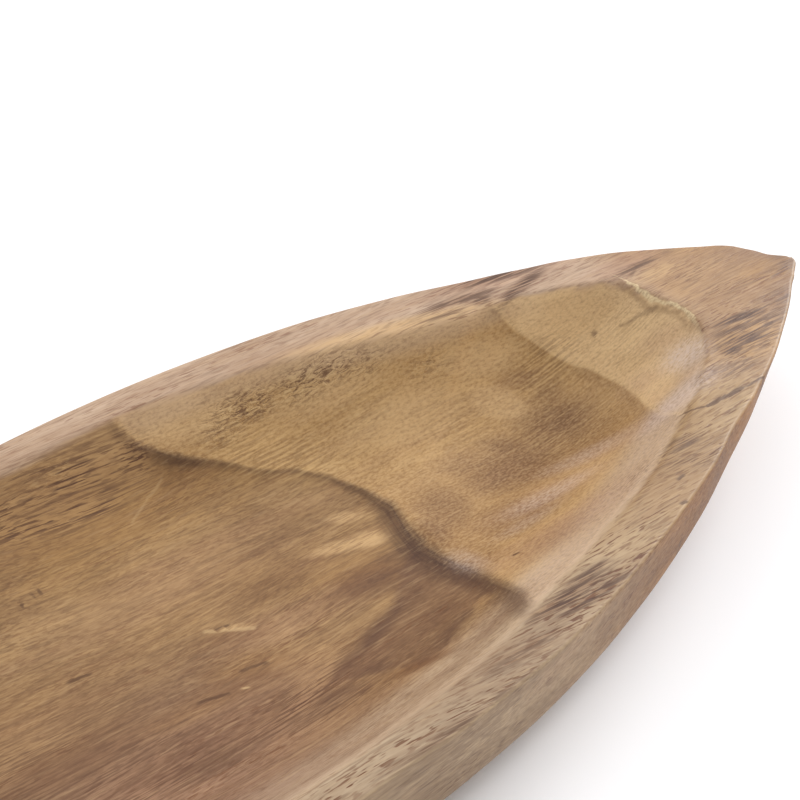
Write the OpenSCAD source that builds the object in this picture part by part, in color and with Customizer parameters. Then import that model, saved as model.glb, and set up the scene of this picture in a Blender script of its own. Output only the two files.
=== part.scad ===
// A boat-shaped dish carved from one piece of wood: pointed ends, flat rim, shallow hollow, boat-like underside.
// The outline and the edge of the hollow are made of arcs that run into each other, mirrored about both middle lines.
// Every level of the dish is one closed ring of points, and the solid runs ring by ring from the foot, up the
// outside, over the rim and down the hollow to its floor.

/* [Plan] */
// Length over the two points
plate_l = 510; // [450:5:570]
// Width across the middle
plate_w = 172; // [160:2:190]
// How far the shoulder, where a long side turns in to the point, lies from the point
nose_l = 74; // [62:1:84]
// Width across the two shoulders of a point
nose_w = 97; // [90:1:106]
// Radius of the blunt tip, seen from above
tip_r = 4; // [3:0.5:9]

/* [Hollow] */
// Length of the hollow at its edge
hollow_l = 405; // [345:1:415]
// Width of the hollow at its edge
hollow_w = 148; // [130:1:154]
// Radius of the round ends of the hollow
hollow_end_r = 29; // [24:1:38]
// Depth of the hollow below the rim
hollow_depth = 27; // [18:1:30]
// Length of the level floor of the hollow
floor_l = 245; // [180:5:280]
// Width of the level floor of the hollow
floor_w = 24; // [12:1:40]
// How hollow the sides are: higher keeps more of the floor low and makes the sides steeper
hollow_curve = 2.1; // [1.7:0.1:2.8]
// Radius over which the rim rolls into the hollow
lip_r = 2; // [1:0.25:3]

/* [Outside] */
// Height of the rim above the table
plate_h = 40; // [36:1:50]
// How far the rim falls from the hollow to its outer edge
rim_fall = 0.8; // [0.2:0.1:1.5]
// Radius of the outer edge of the rim
edge_r = 1.2; // [0.5:0.1:1.8]
// Height of the side wall at the middle, below the outer edge of the rim
wall_h = 31; // [24:0.5:34]
// Height of the side wall at the points
nose_wall_h = 2.5; // [1.5:0.25:5]
// How far from a point the side wall reaches its lowest height
wall_taper_l = 50; // [40:1:60]
// How suddenly the side wall gets lower: at higher values it keeps its height nearly as far as the points
wall_hold = 5; // [2:0.5:8]
// How far the side wall leans in below the rim, in degrees
wall_lean = 3; // [1:1:12]
// How far the round turn from the side wall to the underside reaches up the wall, as a share of the wall
chine_share = 0.3; // [0.1:0.05:0.45]
// Length of the foot that rests on the table
base_l = 280; // [220:5:320]
// Width of the foot that rests on the table
base_w = 80; // [60:1:100]

/* [Hidden] */

half_l = plate_l / 2;
half_w = plate_w / 2;

// Number of steps along a quarter of a ring: on the long side, on the point, on the blunt tip
side_steps = 15;
nose_steps = 11;
tip_steps = 6;
end_steps = nose_steps + tip_steps;

// Long side: an arc through the middle of the side and the shoulder
shoulder_x = half_l - nose_l;
shoulder_y = nose_w / 2;
side_in = half_w - shoulder_y;
side_r = (shoulder_x * shoulder_x + side_in * side_in) / (2 * side_in);
side_a = asin(shoulder_x / side_r);

// Point: an arc that leaves the long side at the shoulder and runs into the tip circle
tip_x = half_l - tip_r;
nose_dx = tip_x - shoulder_x;
nose_top = nose_dx * nose_dx + shoulder_y * shoulder_y - tip_r * tip_r;
nose_r = nose_top / (2 * (shoulder_y * cos(side_a) - nose_dx * sin(side_a) - tip_r));
nose_cx = shoulder_x - nose_r * sin(side_a);
nose_cy = shoulder_y - nose_r * cos(side_a);
nose_a = atan2(tip_x - nose_cx, -nose_cy);

// Edge of the hollow: an arc that runs into a round end
end_x = hollow_l / 2 - hollow_end_r;
half_hw = hollow_w / 2;
lip_top = end_x * end_x + half_hw * half_hw - hollow_end_r * hollow_end_r;
lip_side_r = lip_top / (2 * (half_hw - hollow_end_r));
lip_a = atan2(end_x, lip_side_r - half_hw);

// A quarter ring, from the middle of the long side to the tip: position, then outward direction
function on_arc(cx, cy, r, a) = [cx + r * sin(a), cy + r * cos(a), sin(a), cos(a)];

rim_q = concat(
  [for (i = [0 : side_steps - 1]) on_arc(0, half_w - side_r, side_r, side_a * i / side_steps)],
  [for (i = [0 : nose_steps - 1]) on_arc(nose_cx, nose_cy, nose_r, side_a + (nose_a - side_a) * i / nose_steps)],
  [for (i = [0 : tip_steps]) on_arc(tip_x, 0, tip_r, nose_a + (90 - nose_a) * i / tip_steps)]
);

lip_q = concat(
  [for (i = [0 : side_steps - 1]) on_arc(0, half_hw - lip_side_r, lip_side_r, lip_a * i / side_steps)],
  [for (i = [0 : end_steps]) on_arc(end_x, 0, hollow_end_r, lip_a + (90 - lip_a) * i / end_steps)]
);

last = side_steps + end_steps;

function moved(q, d) = [q[0] + q[2] * d, q[1] + q[3] * d];
function mix(a, b, t) = a + (b - a) * t;

// Outer edge of the rim, side wall, underside
edge_z = plate_h - rim_fall - edge_r;
taper_x = half_l - wall_taper_l;
function wall_at(i) = nose_wall_h
  + (wall_h - nose_wall_h) * max(0, 1 - pow(min(1, rim_q[i][0] / taper_x), wall_hold));
function wall_point(i, d) = concat(moved(rim_q[i], -d * tan(wall_lean)), [edge_z - d]);
function foot_point(i) = [rim_q[i][0] * base_l / plate_l, rim_q[i][1] * base_w / plate_w, 0];
function chine_point(i) = wall_point(i, wall_at(i));
function under_point(i, t) = [
  mix(chine_point(i)[0], foot_point(i)[0], t),
  mix(chine_point(i)[1], foot_point(i)[1], t),
  chine_point(i)[2] * (1 - t) * (1 - t)
];

// The round turn starts on the wall and ends on the underside, with the chine as the corner that it cuts
turn_t = 0.16;
function turn_point(i, t) =
  let (a = wall_point(i, wall_at(i) * (1 - chine_share)), b = chine_point(i), c = under_point(i, turn_t))
  a * (1 - t) * (1 - t) + b * 2 * t * (1 - t) + c * t * t;

// Hollow: from the edge of the hollow down to the level floor
lip_z = plate_h;
floor_z = plate_h - hollow_depth;
function floor_point(i) = [lip_q[i][0] * floor_l / hollow_l, lip_q[i][1] * floor_w / hollow_w];
function cove_point(i, t) = concat(
  mix(floor_point(i), [lip_q[i][0], lip_q[i][1]], t),
  [floor_z + (lip_z - floor_z) * pow(t, hollow_curve)]
);

// The lip starts on the side of the hollow and ends on the rim, with the edge of the hollow as the corner it cuts
lip_t = 0.93;
function rim_inner(i) = concat(moved(lip_q[i], lip_r), [lip_z]);
function lip_point(i, t) =
  let (a = rim_inner(i), b = concat(moved(lip_q[i], 0), [lip_z]), c = cove_point(i, lip_t))
  a * (1 - t) * (1 - t) + b * 2 * t * (1 - t) + c * t * t;

// Rim: from its outer edge, in to the lip, level over most of its width
function rim_outer(i) = concat(moved(rim_q[i], -edge_r), [plate_h - rim_fall]);
function rim_point(i, t) = let (a = rim_outer(i), b = rim_inner(i)) [
  mix(a[0], b[0], t),
  mix(a[1], b[1], t),
  a[2] + (b[2] - a[2]) * (1 - (1 - t) * (1 - t))
];
function edge_point(i, a) = concat(
  moved(rim_q[i], -edge_r * (1 - cos(a))),
  [edge_z + edge_r * sin(a)]
);

// Where the rings lie: along the underside, the round turns, the outer edge, the rim and the side of the hollow
under_rings = [1, 0.86, 0.72, 0.58, 0.44, 0.3];
turn_rings = [1, 0.75, 0.5, 0.25, 0];
edge_rings = [0, 30, 60, 90];
rim_rings = [0.2, 0.45, 0.72];
lip_rings = [0, 0.25, 0.5, 0.75, 1];
cove_rings = [0.84, 0.74, 0.63, 0.52, 0.41, 0.3, 0.2, 0.1, 0];

quarters = [
  for (t = under_rings) [for (i = [0 : last]) under_point(i, t)],
  for (t = turn_rings) [for (i = [0 : last]) turn_point(i, t)],
  for (a = edge_rings) [for (i = [0 : last]) edge_point(i, a)],
  for (t = rim_rings) [for (i = [0 : last]) rim_point(i, t)],
  for (t = lip_rings) [for (i = [0 : last]) lip_point(i, t)],
  for (t = cove_rings) [for (i = [0 : last]) cove_point(i, t)]
];

function ring(q) = concat(
  [for (i = [0 : last]) [q[i][0], q[i][1], q[i][2]]],
  [for (i = [last - 1 : -1 : 0]) [q[i][0], -q[i][1], q[i][2]]],
  [for (i = [1 : last]) [-q[i][0], -q[i][1], q[i][2]]],
  [for (i = [last - 1 : -1 : 1]) [-q[i][0], q[i][1], q[i][2]]]
);

count = 4 * last;
levels = len(quarters);
points = [for (q = quarters) each ring(q)];

function band(r) = [
  for (j = [0 : count - 1])
    let (k = (j + 1) % count, a = r * count, b = a + count)
    each [[a + j, a + k, b + k], [a + j, b + k, b + j]]
];

faces = concat(
  [[for (j = [count - 1 : -1 : 0]) j]],
  [for (r = [0 : levels - 2]) each band(r)],
  [[for (j = [0 : count - 1]) (levels - 1) * count + j]]
);

// The dish: the whole of it is one carved piece
module plate() {
  color([0.72, 0.56, 0.40])
  polyhedron(points = points, faces = faces, convexity = 6);
}

plate();
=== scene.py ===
import math

import bmesh
import bpy
import numpy as np
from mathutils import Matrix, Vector


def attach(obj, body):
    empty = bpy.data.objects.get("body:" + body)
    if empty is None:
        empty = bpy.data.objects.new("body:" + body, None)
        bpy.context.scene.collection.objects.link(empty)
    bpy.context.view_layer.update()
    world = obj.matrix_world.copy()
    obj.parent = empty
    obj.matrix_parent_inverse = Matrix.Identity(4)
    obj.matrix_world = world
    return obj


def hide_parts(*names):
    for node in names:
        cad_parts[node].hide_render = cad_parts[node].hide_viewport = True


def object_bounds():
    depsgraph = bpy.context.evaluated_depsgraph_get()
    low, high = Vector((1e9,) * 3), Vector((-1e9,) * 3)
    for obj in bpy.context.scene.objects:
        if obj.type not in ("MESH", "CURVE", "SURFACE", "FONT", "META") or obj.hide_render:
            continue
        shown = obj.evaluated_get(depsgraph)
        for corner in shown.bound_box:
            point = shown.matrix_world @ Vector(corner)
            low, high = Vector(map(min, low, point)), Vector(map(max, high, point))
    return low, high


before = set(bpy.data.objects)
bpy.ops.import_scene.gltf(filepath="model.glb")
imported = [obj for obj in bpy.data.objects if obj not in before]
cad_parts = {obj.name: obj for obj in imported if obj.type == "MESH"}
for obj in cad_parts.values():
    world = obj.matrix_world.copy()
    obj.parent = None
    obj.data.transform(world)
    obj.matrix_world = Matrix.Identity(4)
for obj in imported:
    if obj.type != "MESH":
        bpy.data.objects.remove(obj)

cad_box = [list(map(float, corner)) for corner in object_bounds()]
MM = 0.001

# Sizes of the plate in millimetres, the same as in the CAD: its length, width and height come from the CAD
# parts' bounds
PLATE_L, PLATE_W, PLATE_H = [round((high - low) / MM, 2) for low, high in zip(*cad_box)]
NOSE_L, NOSE_W, TIP_R = 74.0, 97.0, 4.0
HOLLOW_L, HOLLOW_W, HOLLOW_END_R = 405.0, 148.0, 29.0
HOLLOW_DEPTH, HOLLOW_CURVE = 27.0, 2.1
FLOOR_L, FLOOR_W = 245.0, 24.0
LIP_R, LIP_SHARE = 2.0, 0.93
RIM_FALL, EDGE_R = 0.8, 1.2
WALL_H, NOSE_WALL_H, WALL_TAPER_L, WALL_HOLD = 31.0, 2.5, 50.0, 5.0
WALL_LEAN = math.radians(3.0)
CHINE_SHARE, TURN_SHARE = 0.3, 0.16
BASE_L, BASE_W = 280.0, 80.0

# Steps along a quarter of a ring, on the long side, the point and the blunt tip: finer on the +X half
FINE_STEPS = (190, 68, 14)
PLAIN_STEPS = (60, 26, 8)

# Where the rings lie, as shares of each stretch of the plate's section, and as angles round the outer edge
UNDER_RINGS = np.linspace(1, 0.22, 12)
TURN_RINGS = np.linspace(1, 0, 8)
WALL_RINGS = np.linspace(0.6, 0.1, 5)
EDGE_RINGS = np.linspace(0, math.pi / 2, 6)
RIM_RINGS = np.linspace(0.08, 0.94, 12)
LIP_RINGS = np.linspace(0, 1, 7)
COVE_RINGS = np.linspace(0.915, 0, 58)
FLOOR_RINGS = np.linspace(0.88, 0, 9)

# How far the hand-carved edges lie outside the true arcs, in millimetres, at places along the plate
RIM_FAR = [
    (-250, 0), (-190, 0.8), (-130, -0.5), (-60, 0), (60, 0), (100, 0.4), (130, 0), (155, -0.6), (174, 0),
    (190, 1.0), (207, 1.6), (219, 1.3), (232, 1.3), (241, 1.9), (246, 0.9), (250, -0.6),
]
RIM_NEAR = [
    (-250, 0), (-200, 0.6), (-140, 0), (-70, 0.4), (-20, -0.6), (6, -1.5), (36, -0.4), (68, 0.5), (92, 0.4),
    (115, -0.2), (152, -0.6), (172, -1.5), (190, -0.5), (215, 0.6), (236, 1.3), (245, 0.6), (250, 0),
]
LIP_FAR = [
    (-198, 0), (-150, -1.5), (-110, 0.5), (-60, -1), (-20, -0.5), (22, -0.8), (50, -1.7), (75, -3),
    (100, -4.8), (125, -6), (142, -4.8), (153, -1.6), (166, 1.2), (185, 2.0), (194, 1.2), (201, -2.2),
]
LIP_NEAR = [
    (-198, 0), (-140, 0.6), (-90, -1), (-40, 0.4), (5, 0.2), (25, -0.3), (55, 0), (85, -1), (105, -0.6),
    (130, -0.4), (158, -0.2), (175, -0.4), (186, -1.8), (195, -2.6), (201, -2.2),
]
EVEN = [(-250, 0), (250, 0)]

# The tip at +X isn't quite on the middle line: how far it is moved, and from where the rim bends to it
TIP_SHIFT, TIP_FROM = (-1.5, -4.3), 236.0

# How deep below the rim's edge the side wall has lost half of the unevenness of the edge
WALL_EVENED_AT = 6.0

# Where the scoops of the hollow meet: from the far edge of the hollow to the near one
SEAM = [
    (24, 90), (24, 70), (26, 64), (30, 60.5), (36, 56), (47, 49.5), (56, 42), (67, 36), (74, 29), (80, 20),
    (83, 9), (80.5, -1), (79.5, -10), (80, -18), (81.5, -28), (81.5, -37), (80, -47), (78, -55), (73, -62),
    (66, -90),
]
TIP_SCOOP = [
    (150, 60), (153, 41), (156, 33), (160, 26), (165, 17), (169.5, 8), (171.5, -1), (171, -8), (168.5, -15),
    (165, -22), (162.5, -29), (161, -60),
]

# How high the ledge along the seam is, as a share, at places across the plate
SEAM_STEP = [
    (-75, 0.4), (-58, 1.0), (-40, 1.2), (-10, 1.1), (15, 0.9), (30, 0.5), (42, 0.6), (50, 1.2), (60, 1.7),
    (72, 0.3),
]

# Both ledges: how wide the step is, and for each how high it is and how far around it the ground rises to it.
# A soft step starts up to SOFT_START sooner and is up to SOFT_SPREAD wider. The seam's step turns soft over
# SEAM_SOFT, which is measured towards the near side.
LEDGE_WIDTH = 4.5
SEAM_LEDGE, SEAM_REACH, SEAM_SOFT = 1.25, 34.0, (-15, 8)
SCOOP_LEDGE, SCOOP_REACH, SCOOP_SOFT = 0.9, 22.0, 0.25
SOFT_START, SOFT_SPREAD = 7.0, 4.0

# Where the relief starts and is complete, as shares of the way down the side of the hollow
RELIEF_START = (0.02, 0.22)

# Waves that the gouge left in the hollow: height, how slowly each of two factors turns along x and y, and a
# shift
GOUGE_WAVES = [(0.25, 17, 29, -41, 13, 0), (0.12, 7.3, -11, 19, 6.1, 1)]

# The chipped ridge along the edge of the hollow's end. After its line come how deep the hollow breaks off
# beside it, how soon it gets there, how far that carries on and how far from the line it starts. Then come
# where the ridge starts and ends across the plate, and the jags of its edge: height, how fast they turn along
# y, and a shift.
CHIP = [
    (197.5, 21), (198, 18), (198, 14), (198, 9), (200.5, 4), (201.5, -1), (200.5, -6), (198.5, -10),
    (196, -14), (192, -18),
]
CHIP_DEPTH, CHIP_WIDTH, CHIP_REACH, CHIP_GAP = 1.1, 0.9, 7.0, 0.4
CHIP_START, CHIP_END = (-14, -6), (15, 21)
CHIP_JAGS = [(0.5, 1.9, 0.6), (0.35, 4.3, 2)]

# Points of the mesh this near to each other are one point, and edges this short are none, in metres
SAME_POINT, NO_LENGTH = 1e-6, 1e-7


def arc(centre_x, centre_y, radius, angles):
    """Points on an arc with their outward directions, one row each: x, y, nx, ny."""
    s, c = np.sin(angles), np.cos(angles)
    return np.stack([centre_x + radius * s, centre_y + radius * c, s, c], 1)


def steps(first, last, count):
    """count values from first up to, but not including, last."""
    return first + (last - first) * np.arange(count) / count


def rim_quarter(side_steps, nose_steps, tip_steps):
    """The rim's outer edge from the middle of a long side to the tip."""
    shoulder_x, shoulder_y = PLATE_L / 2 - NOSE_L, NOSE_W / 2
    side_in = PLATE_W / 2 - shoulder_y
    side_r = (shoulder_x**2 + side_in**2) / (2 * side_in)
    side_a = math.asin(shoulder_x / side_r)
    tip_x = PLATE_L / 2 - TIP_R
    dx = tip_x - shoulder_x
    reach = shoulder_y * math.cos(side_a) - dx * math.sin(side_a) - TIP_R
    nose_r = (dx**2 + shoulder_y**2 - TIP_R**2) / (2 * reach)
    nose_x = shoulder_x - nose_r * math.sin(side_a)
    nose_y = shoulder_y - nose_r * math.cos(side_a)
    nose_a = math.atan2(tip_x - nose_x, -nose_y)
    return np.concatenate([
        arc(0, PLATE_W / 2 - side_r, side_r, steps(0, side_a, side_steps)),
        arc(nose_x, nose_y, nose_r, steps(side_a, nose_a, nose_steps)),
        arc(tip_x, 0, TIP_R, np.linspace(nose_a, math.pi / 2, tip_steps + 1)),
    ])


def lip_quarter(side_steps, nose_steps, tip_steps):
    """The edge of the hollow from the middle of a long side to its round end."""
    end_x, half_w = HOLLOW_L / 2 - HOLLOW_END_R, HOLLOW_W / 2
    side_r = (end_x**2 + half_w**2 - HOLLOW_END_R**2) / (2 * (half_w - HOLLOW_END_R))
    side_a = math.atan2(end_x, side_r - half_w)
    return np.concatenate([
        arc(0, half_w - side_r, side_r, steps(0, side_a, side_steps)),
        arc(end_x, 0, HOLLOW_END_R, np.linspace(side_a, math.pi / 2, nose_steps + tip_steps + 1)),
    ])


def whole(quarter):
    """A closed outline from a function that makes a quarter of it, mirrored about both middle lines."""
    fine, plain = quarter(*FINE_STEPS), quarter(*PLAIN_STEPS)
    return np.concatenate([
        fine,
        fine[-2::-1] * [1, -1, 1, -1],
        plain[1:] * [-1, -1, -1, -1],
        plain[-2:0:-1] * [-1, 1, -1, 1],
    ])


def eased(at, table):
    """The value of a table of (place, value) at each place, easing from one entry to the next."""
    places, values = np.array(table, float).T
    i = np.clip(np.searchsorted(places, at) - 1, 0, len(places) - 2)
    t = np.clip((at - places[i]) / (places[i + 1] - places[i]), 0, 1)
    return values[i] + (values[i + 1] - values[i]) * t * t * (3 - 2 * t)


def smooth(value, low, high):
    """0 up to low and 1 from high on, easing from one to the other."""
    t = np.clip((value - low) / (high - low), 0, 1)
    return t * t * (3 - 2 * t)


def carved(outline, far, near):
    """The outline with its hand-carved unevenness, and with its tip moved."""
    out = np.where(outline[:, 1] >= 0, eased(outline[:, 0], far), eased(outline[:, 0], near))
    moved = outline.copy()
    moved[:, :2] += outline[:, 2:] * out[:, None]
    moved[:, :2] += np.outer(smooth(outline[:, 0], TIP_FROM, PLATE_L / 2), TIP_SHIFT)
    return moved


def bezier(a, b, c, t):
    """The point at t on the curve from a to c that b pulls towards itself."""
    return a * (1 - t) ** 2 + b * 2 * t * (1 - t) + c * t**2


def with_height(flat, height):
    """Points in plan with a height, one for all or one each."""
    return np.concatenate([flat, np.broadcast_to(height, (len(flat),)).reshape(-1, 1)], 1)


def from_line(x, y, line):
    """Signed distance to a line of points, positive on its -X side, and the y of the line's nearest point."""
    line = np.array(line, float)
    best, signed, place = np.full(len(x), np.inf), np.zeros(len(x)), np.zeros(len(x))
    for (ax, ay), (bx, by) in zip(line[:-1], line[1:]):
        dx, dy = bx - ax, by - ay
        t = np.clip(((x - ax) * dx + (y - ay) * dy) / (dx * dx + dy * dy), 0, 1)
        away = np.hypot(x - ax - dx * t, y - ay - dy * t)
        side = np.where((x - ax) * dy - (y - ay) * dx > 0, 1.0, -1.0)
        nearer = away < best
        best = np.where(nearer, away, best)
        signed = np.where(nearer, side * away, signed)
        place = np.where(nearer, ay + dy * t, place)
    return signed, place


def step_down(signed, reach, soft):
    """A ledge that falls by 1, with ground that rises to it and recovers from it over reach.
    Where soft nears 1, its edge is wide and round."""
    inside = np.maximum(signed + SOFT_START * soft, 0)
    fall = 1 - np.exp(-(inside / (LEDGE_WIDTH + SOFT_SPREAD * soft)) ** (1 + soft))
    return (0.5 - fall) * np.exp(-np.abs(signed) / reach)


def relief(points):
    """How far the scoops of the hollow and their ledges raise it, in millimetres."""
    x, y = points[:, 0], points[:, 1]
    seam, seam_y = from_line(x, y, SEAM)
    scoop, _ = from_line(x, y, TIP_SCOOP)
    up = SEAM_LEDGE * eased(seam_y, SEAM_STEP) * step_down(seam, SEAM_REACH, smooth(-seam_y, *SEAM_SOFT))
    up += SCOOP_LEDGE * step_down(scoop, SCOOP_REACH, SCOOP_SOFT)
    for height, ax, ay, bx, by, shift in GOUGE_WAVES:
        up += height * np.sin(x / ax + y / ay + shift) * np.sin(x / bx + y / by)
    return up


def chip_fall(points):
    """How far the hollow breaks off beside the chipped ridge, in millimetres, with a jagged edge."""
    x, y = points[:, 0], points[:, 1]
    beside, _ = from_line(x, y, CHIP)
    jagged = sum(height * np.sin(pace * y + shift) for height, pace, shift in CHIP_JAGS)
    inside = np.maximum(beside - CHIP_GAP - jagged, 0)
    ends = smooth(y, *CHIP_START) * (1 - smooth(y, *CHIP_END))
    return CHIP_DEPTH * ends * (1 - np.exp(-inside / CHIP_WIDTH)) * np.exp(-inside / CHIP_REACH)


def outside_levels(true_rim, rim):
    """The rings from the foot up the underside, the turn and the side wall, and over the rim's outer edge,
    each with its share of the hollow and of the outside."""
    even_rim = carved(true_rim, EVEN, EVEN)
    edge_z = PLATE_H - RIM_FALL - EDGE_R
    taper_x = PLATE_L / 2 - WALL_TAPER_L
    fade = np.maximum(0, 1 - np.minimum(1, np.abs(true_rim[:, 0]) / taper_x) ** WALL_HOLD)
    wall = NOSE_WALL_H + (WALL_H - NOSE_WALL_H) * fade

    def wall_points(depth):
        inset = (depth * math.tan(WALL_LEAN))[:, None]
        evened = (smooth(depth, 0, WALL_EVENED_AT) * 0.5)[:, None]
        flat = rim[:, :2] * (1 - evened) + even_rim[:, :2] * evened
        return with_height(flat - rim[:, 2:] * inset, edge_z - depth)

    upper_wall, chine = wall_points(wall * (1 - CHINE_SHARE)), wall_points(wall)
    foot = with_height(true_rim[:, :2] * [BASE_L / PLATE_L, BASE_W / PLATE_W], 0)

    def under(t):
        points = chine * (1 - t) + foot * t
        points[:, 2] = chine[:, 2] * (1 - t) ** 2
        return points

    def edge(angle):
        inset = EDGE_R * (1 - math.cos(angle))
        return with_height(rim[:, :2] - rim[:, 2:] * inset, edge_z + EDGE_R * math.sin(angle))

    levels = [(under(t), 0, 1) for t in UNDER_RINGS]
    levels += [(bezier(upper_wall, chine, under(TURN_SHARE), t), 0, 1) for t in TURN_RINGS]
    levels += [(wall_points(wall * t), 0, 1) for t in WALL_RINGS]
    levels += [(edge(angle), 0, 1 - angle / (math.pi / 2)) for angle in EDGE_RINGS]
    return levels


def rim_levels(rim, lip):
    """The rings across the rim, from its outer edge to the lip."""
    outer = with_height(rim[:, :2] - rim[:, 2:] * EDGE_R, PLATE_H - RIM_FALL)
    inner = with_height(lip[:, :2] + lip[:, 2:] * LIP_R, PLATE_H)

    def rim_top(t):
        points = outer * (1 - t) + inner * t
        points[:, 2] = outer[:, 2] + RIM_FALL * (1 - (1 - t) ** 2)
        return points

    return [(rim_top(t), 0, 0) for t in RIM_RINGS]


def hollow_levels(true_lip, lip):
    """The rings over the lip, down the side of the hollow and in to the middle line of its floor."""
    floor_flat = true_lip[:, :2] * [FLOOR_L / HOLLOW_L, FLOOR_W / HOLLOW_W]
    floor_z = PLATE_H - HOLLOW_DEPTH
    inner = with_height(lip[:, :2] + lip[:, 2:] * LIP_R, PLATE_H)
    corner = with_height(lip[:, :2], PLATE_H)

    def cove(t):
        flat = floor_flat * (1 - t) + lip[:, :2] * t
        points = with_height(flat, floor_z + HOLLOW_DEPTH * t**HOLLOW_CURVE)
        points[:, 2] += relief(points) * smooth(1 - t, *RELIEF_START) - chip_fall(points)
        return points

    def lip_roll(t):
        points = bezier(inner, corner, cove(LIP_SHARE), t)
        points[:, 2] -= chip_fall(points) * (1 - t**2)
        return points

    def floor_ring(share):
        points = with_height(floor_flat * [1, share], floor_z)
        points[:, 2] += relief(points)
        return points

    levels = [(lip_roll(t), t, 0) for t in LIP_RINGS]
    levels += [(cove(t), 1, 0) for t in COVE_RINGS]
    levels += [(floor_ring(share), 1, 0) for share in FLOOR_RINGS]
    return levels


def linked(name, data):
    """A new object in the scene that shows the data."""
    thing = bpy.data.objects.new(name, data)
    bpy.context.collection.objects.link(thing)
    return thing


def give(mesh, name, values):
    """Stores one value for each point of the mesh."""
    attribute = mesh.attributes.new(name, "FLOAT", "POINT")
    attribute.data.foreach_set("value", np.asarray(values, np.float32))


def close_middle_line(mesh):
    """Joins the two sides of the last ring, which lie on each other along the middle line of the hollow."""
    work = bmesh.new()
    work.from_mesh(mesh)
    bmesh.ops.remove_doubles(work, verts=work.verts, dist=SAME_POINT)
    bmesh.ops.dissolve_degenerate(work, edges=work.edges, dist=NO_LENGTH)
    work.to_mesh(mesh)
    work.free()


def build_plate():
    """The carved plate as one closed mesh, ring by ring from the foot to the middle line of the hollow."""
    true_rim, true_lip = whole(rim_quarter), whole(lip_quarter)
    rim, lip = carved(true_rim, RIM_FAR, RIM_NEAR), carved(true_lip, LIP_FAR, LIP_NEAR)
    levels = outside_levels(true_rim, rim) + rim_levels(rim, lip) + hollow_levels(true_lip, lip)
    count = len(rim)
    faces = [tuple(range(count - 1, -1, -1))]
    for level in range(len(levels) - 1):
        a, b = level * count, (level + 1) * count
        for j in range(count):
            k = (j + 1) % count
            faces.append((a + j, a + k, b + k, b + j))
    rings, hollow, outside = zip(*levels)
    mesh = bpy.data.meshes.new("carved_plate")
    mesh.from_pydata((np.concatenate(rings) * MM).tolist(), [], faces)
    give(mesh, "hollow", np.repeat(hollow, count))
    give(mesh, "outside", np.repeat(outside, count))
    close_middle_line(mesh)
    for polygon in mesh.polygons:
        polygon.use_smooth = True
    return linked("carved_plate", mesh)


# The foot of the seam's ledge, painted with shade and darker end grain, at places across the plate: how dark
# it is, and how wide
SEAM_DARK = [
    (-75, 0.3), (-60, 0.9), (-40, 1.0), (-12, 1.25), (4, 1.25), (20, 0.8), (34, 0.5), (44, 0.45), (50, 0.7),
    (56, 1.1), (66, 1.1), (74, 0.3),
]
SEAM_WIDE = [
    (-75, 1.3), (-52, 1.3), (-40, 1.6), (-10, 1.9), (4, 1.6), (20, 0.7), (36, 0.35), (48, 0.4), (58, 0.7),
    (68, 0.8),
]

# The smooth dark lobe before the seam, all the way round
LOBE = [
    (84, -5), (77, -8.5), (68, -13.7), (61.4, -20), (54.5, -25.6), (46, -28.5), (37.3, -32.2), (29, -34.4),
    (24.5, -36), (23, -38), (25, -39.8), (31.4, -42.6), (36.3, -45.6), (40, -50), (45.2, -53.6),
    (51.7, -53.2), (61, -48.8), (68.3, -46), (73.7, -43.5), (79, -45), (92, -45), (92, -5), (84, -5),
]

# Bands of painted light high on the walls of the hollow, where they are painted paler, in millimetres: where
# they start and where they are complete in height, in distance from the middle line and along the plate
NEAR_BAND_Z, FAR_BAND_Z, END_BAND_Z = (22, 33), (33, 39.5), (30, 38)
BAND_Y, FAR_BAND_X, END_BAND_X = (12, 30), (150, 175), (150, 190)
END_BAND_SHARE = 0.35
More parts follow.
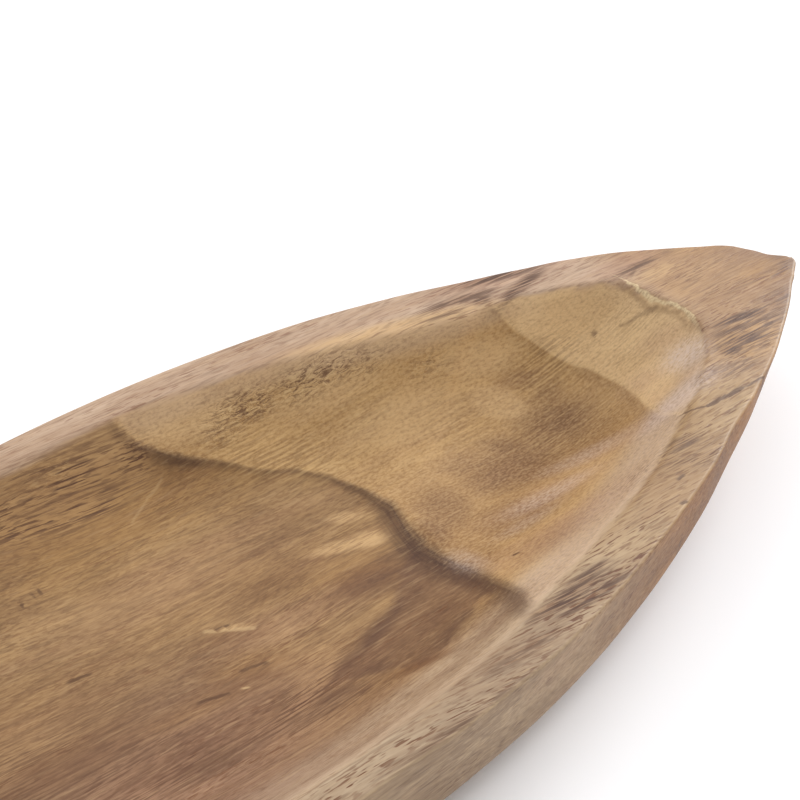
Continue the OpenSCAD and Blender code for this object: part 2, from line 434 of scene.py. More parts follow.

# Soft patches of the wood's figure, and of painted light and shade, from -X to +X, in millimetres: x, y, half
# length, half width, turn in degrees, amount
PATCHES = {
    # Brown wood; the patches just beyond the seam, near x 86 to 95, are painted shade that darkens the edge
    # of its ledge
    "brown": [
        (-140, -20, 35, 8, 4, 0.5), (-90, 20, 40, 10, -4, 0.5), (-40, -12, 30, 9, -6, 0.45),
        (-12, -30, 30, 10, -4, 0.5), (-5, 62, 42, 12, 0, 0.2), (5, -18, 20, 8, -10, 0.5),
        (15, -3, 12, 4, -20, 0.5), (34, 53, 16, 4, -22, 0.35), (40, 62, 16, 8, -10, 0.35),
        (40, -65, 16, 3, 0, 0.4), (43, -53, 10, 2.5, -22, 0.9), (45, 6, 34, 8, -12, 0.35),
        (60, -10, 16, 7, -8, 0.8), (62, -60, 16, 3, 10, 0.5), (66, 57, 20, 4, -8, 0.2),
        (86, -8, 7, 10, 0, 0.9), (89, -24, 9, 12, 0, 0.6), (95, -3, 12, 14, -10, 0.8),
        (102, -40, 14, 8, -8, 0.4), (104, -16, 18, 8, -8, 0.6), (107, -23, 17, 8, -10, 0.75),
        (116, 6, 14, 7, -20, 0.6), (126, -3, 23, 12, -12, 1.0), (131, 4, 11, 6, -40, 0.9),
        (141, 1, 9, 12, 0, 0.8), (148, -10, 16, 11, -10, 0.75), (149, 3, 15, 10, -30, 0.95),
        (149, 22, 12, 4, -40, 0.35), (153, 11, 7, 7, 0, 0.65),
    ],
    "purple": [
        (-60, -20, 40, 9, -4, 0.3), (-30, -30, 50, 18, -4, 0.25), (-24, 24, 30, 7, -4, 0.3),
        (-14, -40, 20, 5, -4, 0.85), (-10, -34, 30, 9, 6, 0.35), (0, -54, 34, 7, 0, 0.35),
        (14, -45, 16, 4, -6, 0.75), (22, -43.5, 9, 5, -30, 0.9), (33, -33, 9, 3.4, 16, 0.9),
        (34, -41.5, 8, 3.4, -40, 0.9), (45, -21, 12, 7, 14, 0.4), (46.5, -28.6, 15, 3.6, 20, 1.0),
        (60, -48.3, 11, 3, 14, 0.9), (61, -14, 12, 6, -10, 0.6), (63, -38, 8, 4, -10, 0.35),
        (72, -8, 8, 4, -20, 0.5), (76, -52, 8, 7, 0, 0.6), (80, -33, 5, 16, 0, 0.7),
    ],
    # Pale wood; the patches high on the far wall of the hollow, near x 88 to 140, are painted light where
    # that wall lies in shade
    "pale": [
        (-30, 30, 40, 12, -4, 0.35), (17, 0, 7, 1.6, -26, 0.6), (20, 36, 26, 9, -4, 0.35),
        (20, 66, 22, 5, -14, 0.35), (43, 64, 20, 7, -12, 0.8), (60, 30, 18, 6, -30, 0.4),
        (62, 5.5, 14, 3.2, -19, 0.75), (69, 3, 6.5, 4, -25, 0.85), (69.5, 14.5, 8, 2.4, -26, 0.7),
        (88, 49, 24, 6, -12, 0.6), (108, 31, 30, 9, -12, 0.65), (118, 50.5, 46, 7, -17, 0.85),
        (137.5, 20, 11, 5.5, -42, 1.0), (140, 33, 18, 6, -16, 0.7), (172, 10, 9, 4, -30, 0.4),
        (182, 23, 12, 7, -10, 0.4), (209, 18, 13, 5, -5, 0.5), (225, 10, 14, 6, -8, 0.3),
    ],
    "pink": [
        (-20, -38, 60, 22, 0, 0.7), (10, 25, 40, 10, -4, 0.3), (30, -8, 26, 7, -6, 0.4),
        (107, -40, 28, 8, -10, 0.9), (120, -22, 22, 7, -12, 0.7), (150, -22, 20, 6, -18, 0.7),
        (165, 52, 22, 6, -14, 0.9), (171, -18, 8, 6, 0, 0.4), (175, -9, 8, 6, -20, 0.6),
        (180, 49, 16, 6, -14, 0.8), (186, -28, 14, 8, -25, 0.4), (190, -3, 8, 6, -30, 0.6),
        (205, 29, 15, 5, -4, 0.9),
    ],
    "gold": [
        (-10, -18, 14, 4, -8, 0.4), (12, -14, 12, 5, -20, 0.4), (12, 49, 48, 13, -6, 0.6),
        (62, -4, 22, 5, -12, 0.4), (100, -48, 24, 4, -8, 0.15), (104, 46, 40, 6, -12, 0.2),
        (127, -38, 22, 4, -14, 0.15), (150, 38, 16, 6, -14, 0.5), (175, 26, 22, 8, -14, 0.5),
        (205, -26, 15, 8, -8, 1.0), (206, 8, 4, 8, 10, 0.4), (232, 20, 16, 4, -22, 0.4),
        (240, -5, 13, 7, -12, 0.7),
    ],
    "torn": [
        (-2, 68, 10, 3, 0, 0.3), (54, 57, 9, 5, 0, 0.7), (64, 58, 14, 4.5, -8, 1.0),
        (88, 54, 18, 4.5, -8, 1.0), (104, 49, 10, 4, -10, 0.6), (122, 39, 8, 4, -10, 0.5),
    ],
    "streaky": [
        (-150, -30, 40, 14, 0, 0.5), (-110, 40, 50, 18, 0, 0.6), (-60, -10, 45, 25, 0, 0.5),
        (-40, 64, 26, 8, 2, 0.9), (-32, -22, 34, 12, -4, 0.6), (-25, -36, 34, 6, -4, 0.8),
        (-5, 63, 30, 9, 0, 1.0), (4, 58, 14, 5, -6, 1.0), (16, -37, 30, 9, -4, 0.8),
        (20, 20, 40, 20, 0, 0.2), (24, 62, 6, 8, 0, 0.9), (24, -47, 34, 5, -6, 0.6),
        (150, -52, 28, 6, -22, 0.5), (210, -25, 16, 7, -8, 0.9), (225, 10, 22, 9, -8, 0.35),
    ],
    "bundle": [
        (42, -85, 40, 4, 0, 0.7), (60, -76, 18, 2, 0, 0.5), (82, -69.6, 16, 2.6, 1, 1.0),
        (88, -73.5, 16, 1.8, 0, 0.9), (91, -66.8, 12, 1.2, 0, 0.9), (137, 47, 11, 1.2, -10, 0.7),
        (146, 50, 18, 2.4, -12, 0.8), (152, 45, 4, 2, 0, 0.9), (152, -47, 7, 2.6, -14, 0.7),
        (166, 53, 22, 4, -14, 1.0), (168, 42.6, 14, 2.2, 12, 1.0), (190, -32, 14, 4, -12, 0.5),
        (197, -26, 4, 2.4, -8, 1.0), (203, -25, 13, 6, -8, 0.5), (204, -24.3, 8, 2.0, -4, 0.9),
        (205, -20, 9, 4, -10, 0.6), (207, 25.5, 16, 1.6, -2, 0.8), (209, -28.5, 3, 1.8, -8, 0.8),
        (213, -16.6, 14, 2.0, -13, 1.0), (222, -22, 16, 5, -8, 0.5), (232, -18, 10, 4, -8, 0.6),
        (245, -7.6, 6, 0.8, 2, 1.0), (250, -5, 5, 6, 0, 0.5),
    ],
    "hatch": [
        (64, 42, 24, 8, -32, 0.9), (96, 40, 10, 7, 0, 0.6), (120, 22, 14, 8, 0, 0.5),
        (148, 0, 18, 12, -10, 0.6), (160, 20, 14, 8, 0, 1.0), (185, 8, 14, 12, 0, 0.5),
    ],
    # Painted highlight: a pale sheen on the near wall of the hollow and at its end
    "painted_sheen": [
        (84, -26, 4, 8, 5, 0.4), (108, -27, 12, 3, -10, 0.25), (122, -22, 16, 4, -14, 0.45),
        (143, -18, 16, 4, -24, 0.35), (170, -29, 16, 5, -3, 0.75), (188, -15, 7, 7, -40, 1.0),
        (190, -16, 4, 8, 0, 0.6),
    ],
}

# Single marks, in millimetres: from x, y to x, y, half width, darkness with pale ones below nought
MARKS = [
    (162, -37, 170, -40, 0.5, 0.8), (170, -40, 186, -41, 0.9, 1.5), (186, -41, 197, -41, 0.6, 0.9),
    (197, 7, 186, 12, 1.0, 0.45), (200.5, 22.5, 207, 25.5, 0.9, 0.5), (207, 25.5, 215, 26.5, 0.9, 0.5),
    (178, 17, 179, 17, 1.3, 0.7), (28, 54, 13, 48, 0.6, -0.4), (-22.4, 43, -22.3, 42.5, 0.7, 0.9),
    (-28.8, 41.6, -28.9, 41.1, 0.7, 0.8), (12, 2.7, 15.5, 2, 0.8, 0.9), (9, 4, 21, -3.5, 1.0, -0.6),
    (-31, 13.5, -25, 12, 0.8, 1.3), (9, -14.5, 16, -16.5, 0.9, 0.8), (-7, -16.5, 1, -19, 0.9, 1.0),
    (5.5, -20.5, 6.3, -21, 0.6, -0.8), (93.5, -36.3, 94, -36.5, 0.6, 1.6),
    (139.5, -56.5, 141.5, -56.5, 0.7, 0.9), (133, -64, 134.5, -64.2, 0.6, 0.9),
    (123, 39, 127, 41, 0.6, 0.4), (-120, 30, -96, 28, 0.6, 0.6), (-170, -8, -150, -9, 0.7, 0.6),
]
# How suddenly a patch ends, where 1 is a bell and 1.5 is flatter in the middle, and how far past its end and
# beside its line a mark fades out
PATCH_EDGE = 1.5
MARK_END, MARK_FADE = 1.5, (2.5, 5.0)


def patches(x, y, table):
    """How strongly the soft patches of a table cover each point."""
    total = np.zeros(len(x))
    for cx, cy, half_l, half_w, turn, amount in table:
        c, s = math.cos(math.radians(turn)), math.sin(math.radians(turn))
        along, across = (x - cx) * c + (y - cy) * s, (y - cy) * c - (x - cx) * s
        share = ((along / half_l) ** 2 + (across / half_w) ** 2) ** PATCH_EDGE
        total = np.maximum(total, amount * np.exp(-share))
    return total


def add_marks(mesh, x, y):
    """Stores the nearest mark's half width and darkness, and how far to the side of it each point lies."""
    best = np.full(len(x), np.inf)
    across, width, dark = np.zeros(len(x)), np.ones(len(x)), np.zeros(len(x))
    for ax, ay, bx, by, half_width, darkness in MARKS:
        length = math.hypot(bx - ax, by - ay)
        dx, dy = (bx - ax) / length, (by - ay) / length
        along = (x - ax) * dx + (y - ay) * dy
        off = (y - ay) * dx - (x - ax) * dy
        beyond = np.maximum(0, np.maximum(-along, along - length))
        away = np.hypot(off, beyond)
        fade = (1 - smooth(beyond, 0, MARK_END)) * (1 - smooth(away, *MARK_FADE))
        nearer = away < best
        best = np.where(nearer, away, best)
        across = np.where(nearer, off, across)
        width = np.where(nearer, half_width, width)
        dark = np.where(nearer, darkness * fade, dark)
    give(mesh, "mark_across", across)
    give(mesh, "mark_width", width)
    give(mesh, "mark_dark", dark)


def add_figure(mesh):
    """Stores where the figure of the wood, and the painted light and shade, lie on the mesh."""
    points = np.empty(len(mesh.vertices) * 3, np.float32)
    mesh.vertices.foreach_get("co", points)
    x, y, z = points.reshape(-1, 3).T.astype(float) / MM
    seam, seam_y = from_line(x, y, SEAM)
    give(mesh, "seam", seam)
    give(mesh, "along_seam", seam_y)
    give(mesh, "seam_dark", eased(seam_y, SEAM_DARK))
    give(mesh, "seam_wide", eased(seam_y, SEAM_WIDE))
    for name, line in (("tip_scoop", TIP_SCOOP), ("lobe", LOBE), ("chip", CHIP)):
        give(mesh, name, from_line(x, y, line)[0])

    # Painted light: paler bands high on the near wall, at the end of the hollow and on the far wall
    lit_end_band = END_BAND_SHARE * smooth(z, *END_BAND_Z) * smooth(x, *END_BAND_X)
    give(mesh, "lit_near_band", smooth(z, *NEAR_BAND_Z) * smooth(-y, *BAND_Y) + lit_end_band)
    give(mesh, "lit_far_band", smooth(z, *FAR_BAND_Z) * smooth(y, *BAND_Y) * (1 - smooth(x, *FAR_BAND_X)))
    for name, table in PATCHES.items():
        give(mesh, name, patches(x, y, table))
    add_marks(mesh, x, y)


class Graph:
    """Short ways to add shader nodes. An input is a number, a tuple or the output of another node."""

    def __init__(self, owner):
        self.tree = owner.node_tree

    def node(self, kind, inputs, output=0, **settings):
        node = self.tree.nodes.new(kind)
        for name, value in settings.items():
            setattr(node, name, value)
        for key, value in inputs.items():
            if isinstance(value, bpy.types.NodeSocket):
                self.tree.links.new(value, node.inputs[key])
            else:
                node.inputs[key].default_value = value
        return node.outputs[output]

    def given(self, name):
        """A value that the mesh stores."""
        return self.node("ShaderNodeAttribute", {}, "Fac", attribute_name=name)

    def math(self, kind, a, b=0.0):
        return self.node("ShaderNodeMath", {0: a, 1: b}, operation=kind)

    def add(self, a, b):
        return self.math("ADD", a, b)

    def times(self, first, *others):
        for other in others:
            first = self.math("MULTIPLY", first, other)
        return first

    def ramp(self, value, low, high, start=0.0, end=1.0):
        inputs = {0: value, 1: low, 2: high, 3: start, 4: end}
        return self.node("ShaderNodeMapRange", inputs, interpolation_type="SMOOTHSTEP")

    def ridge(self, value, foot, top, top_end, foot_end):
        """1 from top to top_end, and 0 before foot and after foot_end."""
        return self.times(self.ramp(value, foot, top), self.ramp(value, top_end, foot_end, 1, 0))

    def mix(self, amount, a, b, blend="MIX"):
        return self.node("ShaderNodeMix", {0: amount, 6: a, 7: b}, 2, data_type="RGBA", blend_type=blend)

    def scaled(self, vector, factor):
        return self.node("ShaderNodeVectorMath", {0: vector, 1: factor}, operation="MULTIPLY")

    def noise(self, vector, length, width, detail, rough, warp=0.0):
        stretched = self.scaled(vector, (1 / length, 1 / width, 1 / width))
        inputs = {"Vector": stretched, "Scale": 1.0, "Detail": detail, "Roughness": rough, "Distortion": warp}
        return self.node("ShaderNodeTexNoise", inputs)

    def jitter(self, noise, amount):
        """A noise as a push to either side."""
        return self.times(self.add(noise, -0.5), amount)


def srgb(red, green, blue):
    """A colour given as 0-255 screen values, as the shader wants it."""
    def linear(value):
        v = value / 255
        return v / 12.92 if v <= 0.04045 else ((v + 0.055) / 1.055) ** 2.4
    return (linear(red), linear(green), linear(blue), 1.0)


# The grain: how far it is turned from x, and how large its bends are and how far they push it, in millimetres
GRAIN_TURN = math.radians(4.0)
BEND_SIZE, BEND_PUSH = (125, 50, 50), (0, 14, 14)

# The noises of the wood: the coordinates that they run along, their length and width in millimetres, and then
# their detail, roughness and warp. Those along "grain" bend with it, and those along "scraped" ignore height.
NOISES = {
    "bands": ("grain", 90, 11, 3, 0.6),
    "ruddy": ("grain", 80, 9, 2, 0.5),
    "clusters": ("grain", 50, 6, 2, 0.5),
    "hollow_edge": ("grain", 30, 4, 2, 0.5),
    "streaks": ("grain", 24, 2.6, 3, 0.6),
    "thin": ("grain", 20, 0.75, 2, 0.6),
    "threads": ("grain", 13, 0.9, 1.5, 0.5),
    "fray": ("grain", 6, 2.5, 3, 0.5),
    "fibres": ("grain", 5, 0.8, 2, 0.6),
    "pores": ("grain", 4.6, 0.62, 1, 0.4),
    "ragged": ("grain", 4.0, 1.3, 3, 0.65, 1.0),
    "fine": ("grain", 2.6, 0.6, 1, 0.5),
    "cloud": ("straight", 30, 16, 3, 0.55),
    "wander": ("straight", 5, 5, 2, 0.5),
    "crumbs": ("straight", 2.2, 2.2, 2, 0.5),
    "lines": ("scraped", 12, 0.75, 1, 0.4),
    "sand": ("scraped", 1.5, 0.7, 2, 0.6),
}

# What makes the plain wood lighter: where each noise ramps up, and its share on the rim and in the hollow
TONES = {
    "bands": (0.32, 0.68, 0.34, 0.2),
    "streaks": (0.3, 0.7, 0.26, 0.25),
    "fibres": (0.28, 0.72, 0.22, 0.3),
    "cloud": (0.32, 0.68, 0.2, 0.3),
}

# The plain wood where it is dark and where it is light, as 0-255 screen values: the rim is cream on the near
# side, pinkish on the far one and browner at the tip, and the hollow is golden brown, paler beyond the seam
PLAIN = {
    "near_rim": [(138, 106, 76), (188, 165, 136)],
    "near_rim_nose": [(137, 100, 60), (185, 153, 109)],
    "far_rim": [(158, 124, 96), (200, 173, 148)],
    "tip": [(136, 98, 62), (182, 144, 102)],
    "hollow": [(114, 78, 42), (184, 146, 96)],
    "beyond_seam": [(162, 121, 69), (206, 165, 108)],
    "outside": [(134, 106, 78), (188, 160, 126)],
    "outside_nose": [(100, 60, 22), (160, 108, 50)],
}

# What the layers are painted with, in their order: a colour as 0-255 screen values, and how far it covers
TINTS = {
    "ruddy": ((156, 112, 78), 0.2),
    "greyer": ((116, 86, 70), 0.6),
    "tip_end": ((128, 90, 58), 0.85),
    # Painted light: the near wall of the hollow painted pale
    "lit_near_band": ((207, 179, 155), 1.0),
    # Painted light: the tip scoop painted palest
    "lit_tip_scoop": ((236, 200, 150), 1.0),
    "pink": ((178, 136, 112), 0.5),
    "gold": ((176, 130, 66), 0.55),
    "brown": ((100, 54, 12), 0.78),
    "pale": ((204, 166, 116), 0.8),
    "lobe": ((92, 56, 40), 0.55),
    "purple": ((84, 50, 32), 0.68),
    # Painted light: the far wall of the hollow painted pale high up
    "lit_far_band": ((190, 159, 130), 0.8),
    # Painted shade and darker end grain at the seam's foot, and painted shade and a painted highlight along
    # the tip scoop's ledge
    "seam_foot": ((76, 44, 22), 0.72),
    "scoop_foot_shade": ((100, 66, 36), 0.15),
    "scoop_crest_highlight": ((226, 190, 134), 0.2),
    "dark_thread": ((88, 58, 34), 1.0),
    "pale_thread": ((212, 178, 132), 0.14),
    "streaky_ground": ((182, 140, 90), 1.0),
    "long_dash": ((86, 49, 24), 0.95),
    "short_dash": ((80, 50, 30), 0.5),
    "bundle_ground": ((116, 74, 40), 0.45),
    "bundle_streak": ((74, 40, 16), 1.0),
    "torn_pit": ((92, 54, 26), 0.82),
    "torn_fibre": ((214, 182, 132), 0.6),
    "pale_sand": ((222, 188, 138), 0.21),
    "dark_sand": ((96, 64, 36), 0.21),
    "dark_line": ((104, 70, 38), 1.0),
    "pale_line": ((218, 182, 126), 1.0),
    # A painted highlight: the pale sheen
    "painted_sheen": ((222, 202, 194), 0.6),
    # Pale broken wood with a painted highlight on the chipped ridge's crest
    "chip_crest_and_highlight": ((238, 214, 168), 1.0),
    "chip_shadow": ((116, 80, 44), 0.35),
    # Painted highlights along the rim's outer edge and the near edge of the hollow
    "outer_edge_highlight": ((216, 190, 156), 0.2),
    "inner_edge_highlight": ((222, 194, 164), 0.2),
    "dark_mark": ((84, 50, 22), 0.8),
    "pale_mark": ((214, 180, 130), 0.6),
}

# What the fine strokes multiply the colour by, the colours of the pores on the near side and on the far one,
# and how far the pores and the scraper's lines cover
STROKE_SHADE = (0.6, 0.5, 0.4, 1)
NEAR_PORE, FAR_PORE = (102, 56, 20), (116, 70, 42)
PORE_STRENGTH, HATCH_STRENGTH = 0.6, 0.36

# Where parts of the wood start and are complete, in millimetres along the grain or across it
NOSE_X, TIP_X, TIP_END_X, GREYER_X = (60, 150), (185, 212), (222, 252), (40, -20)
FAR_Y, STREAKY_Y, CHIP_Y, GREYER_Y, NEAR_EDGE_Y = (-20, 20), (-20, 10), (2, 10), (32, -32), (-25, -45)

# The surface: how rough the wood is between its fibres and on them, how glossy it is, and its bump in metres
ROUGHNESS, GLOSS = (0.58, 0.44), 0.45
BUMP_STRENGTH, BUMP_DEPTH = 0.35, 0.0002


class Wood(Graph):
    """The graph of the wood, with its colour so far and with what its layers share: each of NOISES under its
    own name, the place in millimetres, and masks that say how far a point belongs to a part of the plate."""

    def __init__(self, owner):
        super().__init__(owner)
        place = self.node("ShaderNodeTexCoord", {}, "Object")
        to_mm = {0: place, 2: (0, 0, GRAIN_TURN), 3: (1 / MM, 1 / MM, 1 / MM)}
        straight = self.node("ShaderNodeMapping", to_mm, vector_type="POINT")
        bend_at = self.scaled(straight, [1 / size for size in BEND_SIZE])
        bend = self.node("ShaderNodeTexNoise", {"Vector": bend_at, "Scale": 1.0, "Detail": 1.0}, "Color")
        push = self.scaled(bend, BEND_PUSH)
        grain = self.node("ShaderNodeVectorMath", {0: push, 1: straight}, operation="ADD")
        ways = {"grain": grain, "straight": straight, "scraped": self.scaled(straight, (1, 1, 0))}
        for name, (way, *sizes) in NOISES.items():
            setattr(self, name, self.noise(ways[way], *sizes))
        self.x = self.node("ShaderNodeSeparateXYZ", {0: straight}, 0)
        self.y = self.node("ShaderNodeSeparateXYZ", {0: straight}, 1)
        self.add_masks()

    def add_masks(self):
        """The masks that more than one layer uses."""
        self.hollow, self.outside = self.given("hollow"), self.given("outside")
        self.seam, self.tip_scoop = self.given("seam"), self.given("tip_scoop")
        self.far_side, self.nose = self.ramp(self.y, *FAR_Y), self.ramp(self.x, *NOSE_X)
        self.torn = self.given("torn")
        self.hatch = self.times(self.given("hatch"), HATCH_STRENGTH)

        # The hollow with a ragged edge, the golden wood in it, and the rim around it
        edge = self.add(self.hollow, self.jitter(self.hollow_edge, 0.8))
        self.in_hollow = self.ramp(edge, 0.25, 0.75)
        # Painted light: in the near band the hollow takes the rim's paler colours
        lit_near_band = self.given("lit_near_band")
        self.golden = self.times(self.in_hollow, self.ramp(lit_near_band, 0.1, 1.0, 1.0, 0.15))
        self.band = self.times(lit_near_band, self.in_hollow)
        self.on_rim = self.ramp(self.add(self.in_hollow, self.outside), 0.5, 0.1)

        # The two sides of the seam: the sanded scoops lie beyond it, towards +X, and the dark one before it
        self.past_seam = self.math("DIVIDE", self.seam, self.times(self.given("seam_wide"), -1.0))
        self.beyond_seam = self.ramp(self.past_seam, -1.6, 1.6)
        self.before_seam = self.ramp(self.past_seam, 1.2, -1.5)
        self.sanded = self.times(self.beyond_seam, self.in_hollow)

        # Pores, in clusters, densest on the near rim and fewest where the wood is smooth
        self.dashes = self.ramp(self.pores, 0.52, 0.66)
        cluster = self.add(self.ramp(self.clusters, 0.42, 0.7), self.times(self.on_rim, 0.65))
        polished = self.add(self.add(self.sanded, self.band), self.times(self.far_side, 0.55))
        self.clustered = self.times(self.dashes, cluster, self.ramp(polished, 0, 1, 1, 0.25))

    def paint(self, name, *where):
        """Covers the colour with a tint, as far as all the masks of where let it."""
        shade, strength = TINTS[name]
        self.colour = self.mix(self.times(*where, strength), self.colour, srgb(*shade))


def plain_shade(g, which):
    """The plain wood's colour all over the plate: the dark one, 0, or the light one, 1."""
    shade = {name: srgb(*pair[which]) for name, pair in PLAIN.items()}
    rim = g.mix(g.far_side, g.mix(g.nose, shade["near_rim"], shade["near_rim_nose"]), shade["far_rim"])
    rim = g.mix(g.ramp(g.x, *TIP_X), rim, shade["tip"])
    hollow = g.mix(g.beyond_seam, shade["hollow"], shade["beyond_seam"])
    outside = g.mix(g.nose, shade["outside"], shade["outside_nose"])
    return g.mix(g.outside, g.mix(g.golden, rim, hollow), outside)


def plain_wood(g):
    """The colour of the plain wood, with its bands, streaks, fibres and clouds."""
    tone = 0.0
    for name, (low, high, on_rim, in_hollow) in TONES.items():
        share = g.ramp(g.golden, 0, 1, on_rim, in_hollow)
        tone = g.add(g.times(g.ramp(getattr(g, name), low, high), share), tone)
    return g.mix(tone, plain_shade(g, 0), plain_shade(g, 1))


def paint_places(g):
    """Ruddy bands, greyer wood in the near part of the hollow, browner wood at the very tip, the smooth band
    below the near rim painted pale as painted light, which is redder beside the dark scoop, and the tip scoop
    painted palest as painted light."""
    g.paint("ruddy", g.ramp(g.ruddy, 0.5, 0.75))
    g.paint("greyer", g.in_hollow, g.ramp(g.y, *GREYER_Y), g.ramp(g.x, *GREYER_X))
    g.paint("tip_end", g.ramp(g.x, *TIP_END_X))
    # Painted light: the near wall of the hollow painted pale where it faces the light
    g.paint("lit_near_band", g.band, g.ramp(g.seam, 4, -2, 0.2, 0.72))
    # Painted light: the tip scoop painted palest, where its slope lies in shade
    g.paint("lit_tip_scoop", g.ramp(g.tip_scoop, 0.6, -0.8), g.golden, g.ramp(g.cloud, 0.3, 0.7, 0.6, 0.9))


def paint_patches(g):
    """The soft patches of the figure, some of them painted light and shade, the dark lobe before the seam,
    and painted light that makes the far wall beyond it pale high up."""
    frayed = g.ramp(g.add(g.times(g.streaks, 0.6), g.times(g.cloud, 0.4)), 0.36, 0.6, 0.62, 1.2)
    streaked = g.ramp(g.streaks, 0.36, 0.6, 1.1, 0.85)
    g.paint("pink", g.given("pink"), frayed)
    g.paint("gold", g.given("gold"), frayed)
    # Brown patches, some of them painted shade beside the seam's ledge
    g.paint("brown", g.given("brown"), g.ramp(g.tip_scoop, -1.0, 1.5), g.ramp(g.cloud, 0.3, 0.7, 0.85, 1.1))
    # Pale patches, some of them painted light on the far wall of the hollow
    g.paint("pale", g.ramp(g.given("pale"), 0.12, 0.8), streaked)
    lobe = g.ramp(g.add(g.given("lobe"), g.jitter(g.fray, 5.0)), 1.6, -1.6)
    g.paint("lobe", lobe, g.before_seam, g.in_hollow)
    g.paint("purple", g.given("purple"), g.before_seam, streaked)
    # Painted light: the far wall painted pale high up, where it lies in shade
    g.paint("lit_far_band", g.given("lit_far_band"), g.ramp(g.past_seam, -0.5, 4.0), g.hollow)


def paint_ledges(g):
    """The painted shade and darker end grain at the foot of the seam's ledge, streaked along it, and on the
    tip scoop's ledge a painted shade at its foot and a painted highlight on its crest.
    """
    wander = g.jitter(g.wander, 2.0)
    beside_seam = g.node("ShaderNodeCombineXYZ", {0: g.times(g.given("along_seam"), 0.06), 1: g.seam})
    strands = g.node("ShaderNodeTexNoise", {"Vector": beside_seam, "Scale": 0.9, "Detail": 2.0})
    ledge = g.math("DIVIDE", g.add(g.seam, wander), g.given("seam_wide"))
    foot = g.times(g.ridge(ledge, -2.4, 0.1, 0.6, 6.0), g.ramp(strands, 0.35, 0.6, 1.1, 0.85))
    # Painted shade with darker end grain at the foot of the seam's ledge
    g.paint("seam_foot", foot, g.given("seam_dark"), g.in_hollow)
    ledge = g.add(g.tip_scoop, wander)
    # Painted shade at the foot of the tip scoop's ledge
    g.paint("scoop_foot_shade", g.ridge(ledge, -0.8, 0.9, 0.8, 5.0), g.in_hollow)
    # Painted highlight on the crest of the tip scoop's ledge
    g.paint("scoop_crest_highlight", g.ridge(ledge, -2.4, -1.0, -0.6, 0.4), g.in_hollow)


def paint_strokes(g):
    """Fine short strokes all over the hollow, thin dark threads, fewer where it is sanded, and pale ones."""
    stroke = g.times(g.in_hollow, g.ramp(g.sanded, 0, 1, 0.5, 0.3), g.ramp(g.cloud, 0.35, 0.65, 1.2, 0.6))
    g.colour = g.mix(g.times(g.ramp(g.fine, 0.48, 0.6), stroke), g.colour, STROKE_SHADE, "MULTIPLY")
    g.paint("dark_thread", g.ramp(g.threads, 0.54, 0.68), g.ramp(g.sanded, 0, 1, 0.3, 0.12))
    g.paint("pale_thread", g.ramp(g.threads, 0.44, 0.3))


def paint_pores(g):
    """Pores: short dark dashes along the grain."""
    shade = g.mix(g.far_side, srgb(*NEAR_PORE), srgb(*FAR_PORE))
    g.colour = g.mix(g.times(g.clustered, PORE_STRENGTH), g.colour, shade)


def paint_streaks(g):
    """Long thin dashes with the plain wood showing between them, and bundles of dark streaks."""
    streaky = g.given("streaky")
    bundle = g.times(g.given("bundle"), g.ramp(g.outside, 0.2, 0.8, 1.0, 0.35))
    feather = g.ramp(g.add(g.times(g.streaks, 0.5), g.times(g.cloud, 0.5)), 0.4, 0.58, 0.5, 1.1)
    g.paint("streaky_ground", streaky, g.ramp(g.y, *STREAKY_Y, 0.1, 0.5))
    g.paint("long_dash", g.ramp(g.thin, 0.5, 0.58), streaky, feather)
    g.paint("short_dash", g.dashes, streaky, feather)
    g.paint("bundle_ground", g.ramp(bundle, 0.15, 0.9))
    g.paint("bundle_streak", g.ramp(g.thin, 0.42, 0.54), bundle)


def paint_torn_grain(g):
    """Torn grain: dark pits and raised pale fibres."""
    g.paint("torn_pit", g.ramp(g.ragged, 0.49, 0.6), g.torn)
    g.paint("torn_fibre", g.ramp(g.ragged, 0.44, 0.36), g.torn)


def paint_sanding(g):
    """The fine grain of the sanded scoop, the scraper's lines, and the pale sheen, a painted highlight."""
    g.paint("pale_sand", g.ramp(g.sand, 0.4, 0.65), g.sanded)
    g.paint("dark_sand", g.ramp(g.sand, 0.5, 0.3), g.sanded)
    g.paint("dark_line", g.ramp(g.lines, 0.55, 0.4), g.hatch)
    g.paint("pale_line", g.ramp(g.lines, 0.5, 0.65), g.hatch)
    # Painted highlight: a pale speckled sheen
    g.paint("painted_sheen", g.given("painted_sheen"), g.ramp(g.sand, 0.3, 0.7, 0.3, 1.2))


def paint_chip(g):
    """The chipped ridge: pale broken wood on its crest with a painted highlight, and a shadow beside it."""
    chip = g.add(g.given("chip"), g.jitter(g.crumbs, 2.4))
    broken = g.ramp(g.y, *CHIP_Y, 0.15, 1.0)
    # Pale broken wood and a painted highlight on the crest
    g.paint("chip_crest_and_highlight", g.ridge(chip, -1.0, -0.2, 0.2, 1.3), broken, g.ramp(g.sand, 0.3, 0.7, 0.3, 0.9))
    g.paint("chip_shadow", g.ridge(chip, 1.0, 2.2, 2.5, 4.5), broken)


def paint_edge_highlights(g):
    """Painted highlights: pale lines along the rim's outer edge and, on the near side, along the edge of the
    hollow.
    """
    # Painted highlight along the rim's outer edge
    g.paint("outer_edge_highlight", g.ridge(g.outside, 0.05, 0.3, 0.5, 0.9))
    # Painted highlight along the near edge of the hollow
    g.paint("inner_edge_highlight", g.ridge(g.hollow, 0.1, 0.5, 0.6, 0.98), g.ramp(g.y, *NEAR_EDGE_Y))


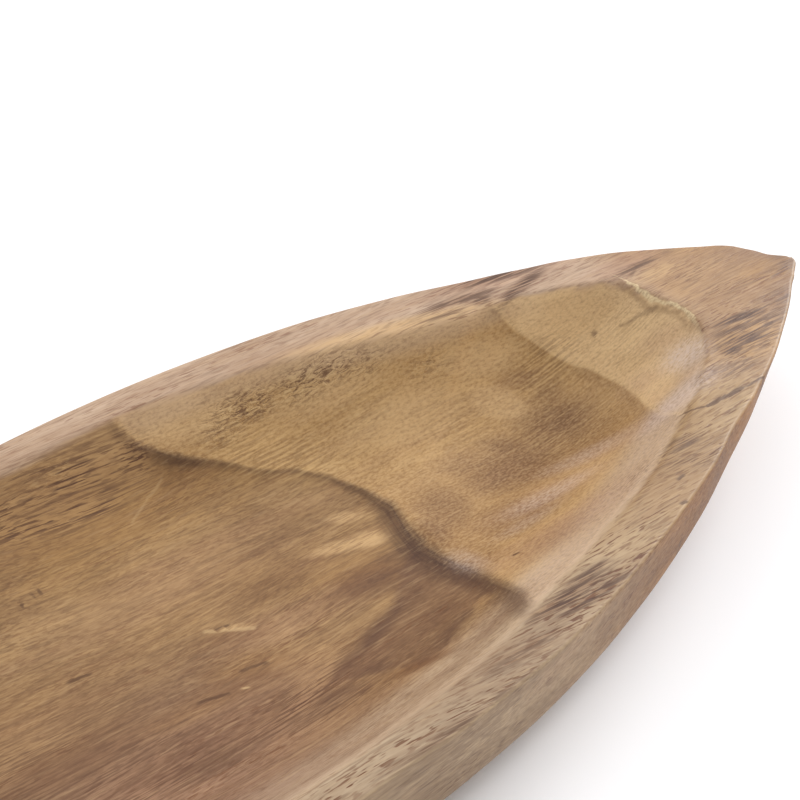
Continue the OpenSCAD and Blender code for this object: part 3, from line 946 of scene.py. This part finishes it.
def paint_marks(g):
    """Single marks, made of fibres themselves."""
    off = g.math("ABSOLUTE", g.add(g.given("mark_across"), g.jitter(g.wander, 1.0)))
    reach = g.add(g.math("DIVIDE", off, g.given("mark_width")), g.jitter(g.fibres, 1.6))
    mark = g.times(g.ramp(reach, 0.2, 1.3, 1, 0), g.given("mark_dark"))
    g.paint("dark_mark", g.ramp(mark, 0, 1))
    g.paint("pale_mark", g.ramp(mark, 0, -1))


def wood_height(g):
    """The height of the fine grain, for the bump: pores and pits are low, fibres and scraper's lines high."""
    height = g.add(g.times(g.fibres, 0.5), g.times(g.clustered, -0.6))
    height = g.add(height, g.times(g.ramp(g.ragged, 0.35, 0.65), g.torn, -2.0))
    height = g.add(height, g.times(g.sand, g.ramp(g.sanded, 0, 1, 0.1, 0.22)))
    return g.add(height, g.times(g.lines, g.hatch))


WOOD_LAYERS = [
    paint_places, paint_patches, paint_ledges, paint_strokes, paint_pores, paint_streaks, paint_torn_grain,
    paint_sanding, paint_chip, paint_edge_highlights, paint_marks,
]


def wood_material():
    material = bpy.data.materials.new("wood")
    material.use_nodes = True
    g = Wood(material)
    g.colour = plain_wood(g)
    for paint_layer in WOOD_LAYERS:
        paint_layer(g)
    bump = {"Strength": BUMP_STRENGTH, "Distance": BUMP_DEPTH, "Height": wood_height(g)}
    shader = g.tree.nodes["Principled BSDF"]
    g.tree.links.new(g.colour, shader.inputs["Base Color"])
    g.tree.links.new(g.node("ShaderNodeBump", bump), shader.inputs["Normal"])
    g.tree.links.new(g.ramp(g.fibres, 0.2, 0.8, *ROUGHNESS), shader.inputs["Roughness"])
    shader.inputs["Specular IOR Level"].default_value = GLOSS
    return material


# Camera: where it stands and looks, in millimetres in the plate's frame, its lens and sensor in millimetres,
# and the nearest thing that it shows, in metres
CAMERA_AT = (-142.02, -268.07, 369.06)
CAMERA_DIRECTION = (0.47969, 0.58144, -0.65713)
CAMERA_LENS, SENSOR_W, CLIP_START = 72.0, 36.0, 0.01

# Floor: half its width in metres, and its surface
FLOOR_HALF, FLOOR_COLOUR, FLOOR_ROUGHNESS = 6.0, (0.95, 0.95, 0.97, 1), 0.8

# Light: how strong the soft light from all around is on the near side, -Y, and on the far one. Then the wide
# light from beyond the tip: where it shines to, the angle that it fills in degrees, its strength and how far
# away it is, in metres.
NEAR_LIGHT, FAR_LIGHT = 0.45, 1.06
SIDE_LIGHT_TOWARD, SIDE_LIGHT_WIDE, SIDE_LIGHT_STRENGTH = (-0.897, -0.127, -0.423), 40, 3.4
SIDE_LIGHT_AWAY = 2.0


def turned_to(direction):
    """The turn of a camera or light that looks in a direction."""
    return Vector(direction).to_track_quat("-Z", "Y").to_euler()


def add_camera():
    data = bpy.data.cameras.new("camera")
    data.lens = CAMERA_LENS
    data.sensor_width = SENSOR_W
    data.clip_start = CLIP_START
    camera = linked("camera", data)
    camera.location = Vector(CAMERA_AT) * MM
    camera.rotation_euler = turned_to(CAMERA_DIRECTION)
    bpy.context.scene.camera = camera


def add_floor():
    a = FLOOR_HALF
    mesh = bpy.data.meshes.new("floor")
    mesh.from_pydata([(-a, -a, 0), (a, -a, 0), (a, a, 0), (-a, a, 0)], [], [(0, 1, 2, 3)])
    material = bpy.data.materials.new("floor")
    material.use_nodes = True
    shader = material.node_tree.nodes["Principled BSDF"]
    shader.inputs["Base Color"].default_value = FLOOR_COLOUR
    shader.inputs["Roughness"].default_value = FLOOR_ROUGHNESS
    mesh.materials.append(material)
    floor = linked("floor", mesh)


def add_side_light():
    """A far, wide, soft light."""
    data = bpy.data.lights.new("side", "SUN")
    data.energy = SIDE_LIGHT_STRENGTH
    data.angle = math.radians(SIDE_LIGHT_WIDE)
    light = linked("side", data)
    light.location = Vector(SIDE_LIGHT_TOWARD) * -SIDE_LIGHT_AWAY
    light.rotation_euler = turned_to(SIDE_LIGHT_TOWARD)


def add_world():
    """Soft light from all around, stronger from the far side."""
    world = bpy.data.worlds.new("world")
    world.use_nodes = True
    g = Graph(world)
    toward_far = g.node("ShaderNodeSeparateXYZ", {0: g.node("ShaderNodeTexCoord", {}, "Generated")}, 1)
    strength = g.node("ShaderNodeMapRange", {0: toward_far, 1: -1.0, 2: 1.0, 3: NEAR_LIGHT, 4: FAR_LIGHT})
    background = g.tree.nodes["Background"]
    background.inputs["Color"].default_value = (1, 1, 1, 1)
    g.tree.links.new(strength, background.inputs["Strength"])
    bpy.context.scene.world = world


plate = build_plate()
add_figure(plate.data)
plate.data.materials.append(wood_material())
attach(plate, "root")
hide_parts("plate")

add_camera()
add_floor()
add_world()
add_side_light()
bpy.context.scene.view_settings.view_transform = "Standard"
